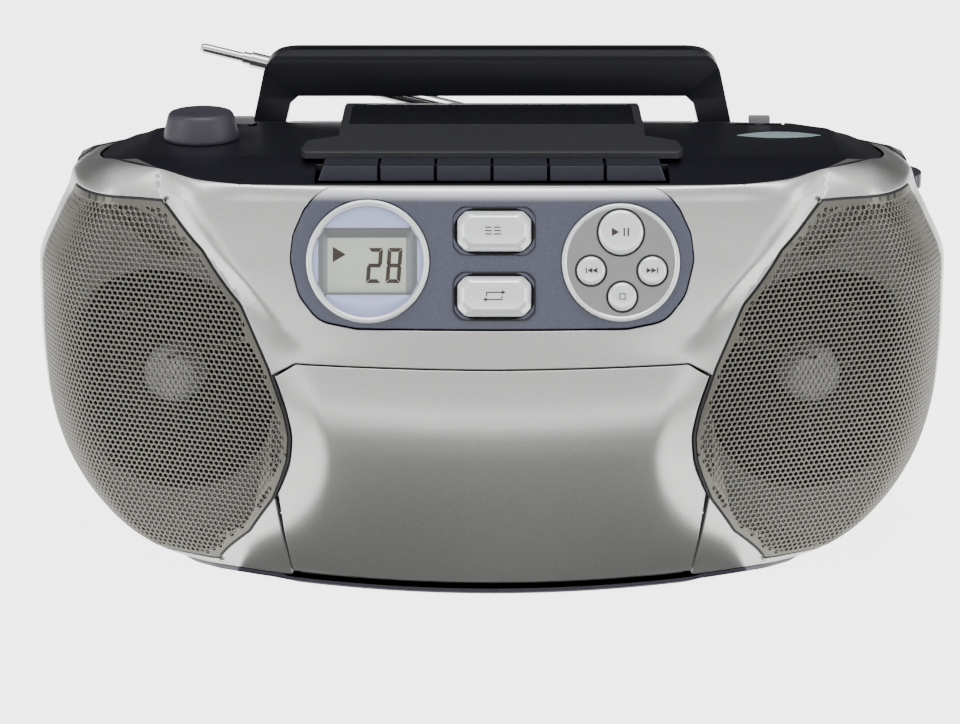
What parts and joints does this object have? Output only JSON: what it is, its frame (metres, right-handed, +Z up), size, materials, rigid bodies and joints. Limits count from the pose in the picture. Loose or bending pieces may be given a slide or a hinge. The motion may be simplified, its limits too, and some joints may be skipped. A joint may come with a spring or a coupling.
{
  "type": "portable cassette player",
  "caption": "Wide portable player with a front cassette door, top disc lid, tape keys, button panel, two perforated speaker grilles, folding handle and telescopic antenna.",
  "frame": {"origin": "middle of the footprint of the whole object, on the table", "axes": "+Z up, +X towards the right speaker seen from the front, the front faces -Y"},
  "size_m": [0.424, 0.252, 0.2165],
  "materials": {
    "silver_plastic": "fine metallic silver paint on plastic, satin",
    "black_plastic": "satin to glossy black plastic",
    "slate_plastic": "slate blue metallic paint, satin",
    "pearl_plastic": "pearl silver paint, glossy",
    "dark_plastic": "dark grey moulded plastic",
    "white_plastic": "natural white plastic",
    "grille_metal": "perforated sheet, champagne silver",
    "clear_lens": "tinted clear acrylic, glossy",
    "teal_window": "tinted clear acrylic",
    "lcd": "grey-green liquid crystal cell",
    "steel": "zinc plated steel",
    "chrome": "chromed tube",
    "paper_cone": "black paper pulp cone with pale dust cap",
    "rubber": "soft black rubber",
    "board": "green circuit board with parts",
    "red_plastic": "pointer, glossy"
  },
  "bodies": {
    "cabinet": {"front_cabinet": "silver_plastic", "rear_cabinet": "black_plastic", "top_deck": "black_plastic", "control_panel": "slate_plastic", "display_ring": "pearl_plastic", "display_lens": "clear_lens", "lcd_module": "lcd", "cd_button_plate": "pearl_plastic", "dial_window": "teal_window", "speaker_grille_left": "grille_metal", "speaker_grille_right": "grille_metal", "speaker_frame_left": "steel", "speaker_frame_right": "steel", "speaker_cone_left": "paper_cone", "speaker_cone_right": "paper_cone", "tape_chassis": "steel", "tape_motor": "steel", "cd_chassis": "dark_plastic", "main_board": "board", "transformer": "steel", "mains_inlet": "dark_plastic", "headphone_jack": "dark_plastic", "feet": "rubber", "screws": "steel"},
    "door": {"cassette_door": "silver_plastic", "cassette_holder": "dark_plastic"},
    "lid": {"cd_lid": "black_plastic", "cd_window": "black_plastic"},
    "program_button_body": {"program_button": "pearl_plastic"},
    "repeat_button_body": {"repeat_button": "pearl_plastic"},
    "play_pause_button_body": {"play_pause_button": "pearl_plastic"},
    "previous_button_body": {"previous_button": "pearl_plastic"},
    "next_button_body": {"next_button": "pearl_plastic"},
    "stop_button_body": {"stop_button": "pearl_plastic"},
    "record_key_body": {"record_key": "slate_plastic"},
    "play_key_body": {"play_key": "slate_plastic"},
    "rewind_key_body": {"rewind_key": "slate_plastic"},
    "fast_forward_key_body": {"fast_forward_key": "slate_plastic"},
    "stop_eject_key_body": {"stop_eject_key": "slate_plastic"},
    "pause_key_body": {"pause_key": "slate_plastic"},
    "volume_knob_body": {"volume_knob": "slate_plastic"},
    "source_selector_body": {"source_selector": "dark_plastic"},
    "band_selector_body": {"band_selector": "dark_plastic"},
    "tuning_knob_body": {"tuning_knob": "slate_plastic"},
    "dial_pointer_body": {"dial_pointer": "red_plastic"},
    "head_plate_body": {"head_plate": "steel"},
    "pinch_roller_body": {"pinch_roller": "rubber"},
    "capstan_flywheel_body": {"capstan_flywheel": "steel"},
    "supply_reel_body": {"supply_reel": "white_plastic"},
    "takeup_reel_body": {"takeup_reel": "white_plastic"},
    "cd_clamper_body": {"cd_clamper": "white_plastic"},
    "turntable_body": {"turntable": "dark_plastic"},
    "laser_pickup_body": {"laser_pickup": "dark_plastic"},
    "carry_handle_body": {"carry_handle": "black_plastic"},
    "antenna_swivel_body": {"antenna_swivel": "chrome"},
    "antenna_tube_1_body": {"antenna_tube_1": "chrome"},
    "antenna_tube_2_body": {"antenna_tube_2": "chrome"},
    "antenna_tube_3_body": {"antenna_tube_3": "chrome"},
    "battery_door_body": {"battery_door": "black_plastic"}
  },
  "joints": [
    {"name": "program_press", "type": "slide", "parent": "cabinet", "child": "program_button_body", "axis": [0, 0.951, -0.3091], "range_m": [0, 0.0012], "stiffness_N_per_m": 400, "springref_m": -0.0005},
    {"name": "repeat_press", "type": "slide", "parent": "cabinet", "child": "repeat_button_body", "axis": [0, 0.951, -0.3091], "range_m": [0, 0.0012], "stiffness_N_per_m": 400, "springref_m": -0.0005},
    {"name": "play_pause_press", "type": "slide", "parent": "cabinet", "child": "play_pause_button_body", "axis": [0, 0.951, -0.3091], "range_m": [0, 0.0012], "stiffness_N_per_m": 400, "springref_m": -0.0005},
    {"name": "previous_press", "type": "slide", "parent": "cabinet", "child": "previous_button_body", "axis": [0, 0.951, -0.3091], "range_m": [0, 0.0012], "stiffness_N_per_m": 400, "springref_m": -0.0005},
    {"name": "next_press", "type": "slide", "parent": "cabinet", "child": "next_button_body", "axis": [0, 0.951, -0.3091], "range_m": [0, 0.0012], "stiffness_N_per_m": 400, "springref_m": -0.0005},
    {"name": "stop_press", "type": "slide", "parent": "cabinet", "child": "stop_button_body", "axis": [0, 0.951, -0.3091], "range_m": [0, 0.0012], "stiffness_N_per_m": 400, "springref_m": -0.0005},
    {"name": "record_key_press", "type": "hinge", "parent": "cabinet", "child": "record_key_body", "pos_m": [0, -0.044, 0.17], "axis": [1, 0, 0], "range_deg": [0, 5.5], "stiffness_Nm_per_rad": 0.8, "springref_deg": -2.86},
    {"name": "play_key_press", "type": "hinge", "parent": "cabinet", "child": "play_key_body", "pos_m": [0, -0.044, 0.17], "axis": [1, 0, 0], "range_deg": [0, 5.5], "stiffness_Nm_per_rad": 0.8, "springref_deg": -2.86},
    {"name": "rewind_key_press", "type": "hinge", "parent": "cabinet", "child": "rewind_key_body", "pos_m": [0, -0.044, 0.17], "axis": [1, 0, 0], "range_deg": [0, 5.5], "stiffness_Nm_per_rad": 0.8, "springref_deg": -2.86},
    {"name": "fast_forward_key_press", "type": "hinge", "parent": "cabinet", "child": "fast_forward_key_body", "pos_m": [0, -0.044, 0.17], "axis": [1, 0, 0], "range_deg": [0, 5.5], "stiffness_Nm_per_rad": 0.8, "springref_deg": -2.86},
    {"name": "stop_eject_key_press", "type": "hinge", "parent": "cabinet", "child": "stop_eject_key_body", "pos_m": [0, -0.044, 0.17], "axis": [1, 0, 0], "range_deg": [0, 5.5], "stiffness_Nm_per_rad": 0.8, "springref_deg": -2.86},
    {"name": "pause_key_press", "type": "hinge", "parent": "cabinet", "child": "pause_key_body", "pos_m": [0, -0.044, 0.17], "axis": [1, 0, 0], "range_deg": [0, 5.5], "stiffness_Nm_per_rad": 0.8, "springref_deg": -2.86},
    {"name": "cassette_door_hinge", "type": "hinge", "parent": "cabinet", "child": "door", "pos_m": [0, -0.114, 0.009], "axis": [1, 0, 0], "range_deg": [0, 32]},
    {"name": "cd_lid_hinge", "type": "hinge", "parent": "cabinet", "child": "lid", "pos_m": [0, 0.057, 0.1875], "axis": [-1, 0, 0], "range_deg": [0, 58]},
    {"name": "handle_fold", "type": "hinge", "parent": "cabinet", "child": "carry_handle_body", "pos_m": [0, 0.067, 0.168], "axis": [-1, 0, 0], "range_deg": [0, 88]},
    {"name": "volume_turn", "type": "hinge", "parent": "cabinet", "child": "volume_knob_body", "pos_m": [-0.135, -0.02, 0.191], "axis": [0, 0, 1], "range_deg": [-140, 140]},
    {"name": "source_slide", "type": "slide", "parent": "cabinet", "child": "source_selector_body", "axis": [1, 0, 0], "range_m": [-0.004, 0.004]},
    {"name": "band_slide", "type": "slide", "parent": "cabinet", "child": "band_selector_body", "axis": [1, 0, 0], "range_m": [-0.006, 0.006]},
    {"name": "tuning_turn", "type": "hinge", "parent": "cabinet", "child": "tuning_knob_body", "pos_m": [0.187, 0.014, 0.16], "axis": [0, 0, 1], "range_deg": [-135, 135]},
    {"name": "dial_pointer_slide", "type": "slide", "parent": "cabinet", "child": "dial_pointer_body", "axis": [1, 0, 0], "range_m": [-0.008, 0.008]},
    {"name": "turntable_spin", "type": "hinge", "parent": "cabinet", "child": "turntable_body", "pos_m": [0, -0.004, 0.178], "axis": [0, 0, 1], "continuous": true},
    {"name": "clamper_spin", "type": "hinge", "parent": "lid", "child": "cd_clamper_body", "pos_m": [0, -0.004, 0.19], "axis": [0, 0, 1], "continuous": true},
    {"name": "laser_sled_slide", "type": "slide", "parent": "cabinet", "child": "laser_pickup_body", "axis": [0, -1, 0], "range_m": [0, 0.019]},
    {"name": "supply_reel_spin", "type": "hinge", "parent": "cabinet", "child": "supply_reel_body", "pos_m": [-0.02125, -0.095, 0.054], "axis": [0, 1, 0], "continuous": true},
    {"name": "takeup_reel_spin", "type": "hinge", "parent": "cabinet", "child": "takeup_reel_body", "pos_m": [0.02125, -0.095, 0.054], "axis": [0, 1, 0], "continuous": true},
    {"name": "capstan_spin", "type": "hinge", "parent": "cabinet", "child": "capstan_flywheel_body", "pos_m": [0.036, -0.087, 0.084], "axis": [0, 1, 0], "continuous": true},
    {"name": "head_plate_slide", "type": "slide", "parent": "cabinet", "child": "head_plate_body", "axis": [0, 0, -1], "range_m": [0, 0.005]},
    {"name": "pinch_roller_swing", "type": "hinge", "parent": "cabinet", "child": "pinch_roller_body", "pos_m": [0.054, -0.096, 0.0965], "axis": [0, -1, 0], "range_deg": [0, 15]},
    {"name": "battery_door_hinge", "type": "hinge", "parent": "cabinet", "child": "battery_door_body", "pos_m": [0, 0.1012, 0.012], "axis": [-1, 0, 0], "range_deg": [0, 90]},
    {"name": "antenna_turn", "type": "hinge", "parent": "cabinet", "child": "antenna_swivel_body", "pos_m": [0.12, 0.1215, 0.141], "axis": [0, 1, 0], "range_deg": [-13.8, 166.2]},
    {"name": "antenna_tilt", "type": "hinge", "parent": "antenna_swivel_body", "child": "antenna_tube_1_body", "pos_m": [0.12, 0.1215, 0.141], "axis": [0.2385, 0, 0.9711], "range_deg": [-90, 0]},
    {"name": "antenna_slide_1", "type": "slide", "parent": "antenna_tube_1_body", "child": "antenna_tube_2_body", "axis": [-0.9711, 0, 0.2385], "range_m": [0, 0.2]},
    {"name": "antenna_slide_2", "type": "slide", "parent": "antenna_tube_2_body", "child": "antenna_tube_3_body", "axis": [-0.9711, 0, 0.2385], "range_m": [-0.015, 0.19]}
  ],
  "couplings": [
    {"joint": "dial_pointer_slide", "follows": "tuning_turn", "m_per_rad": 0.003395}
  ]
}
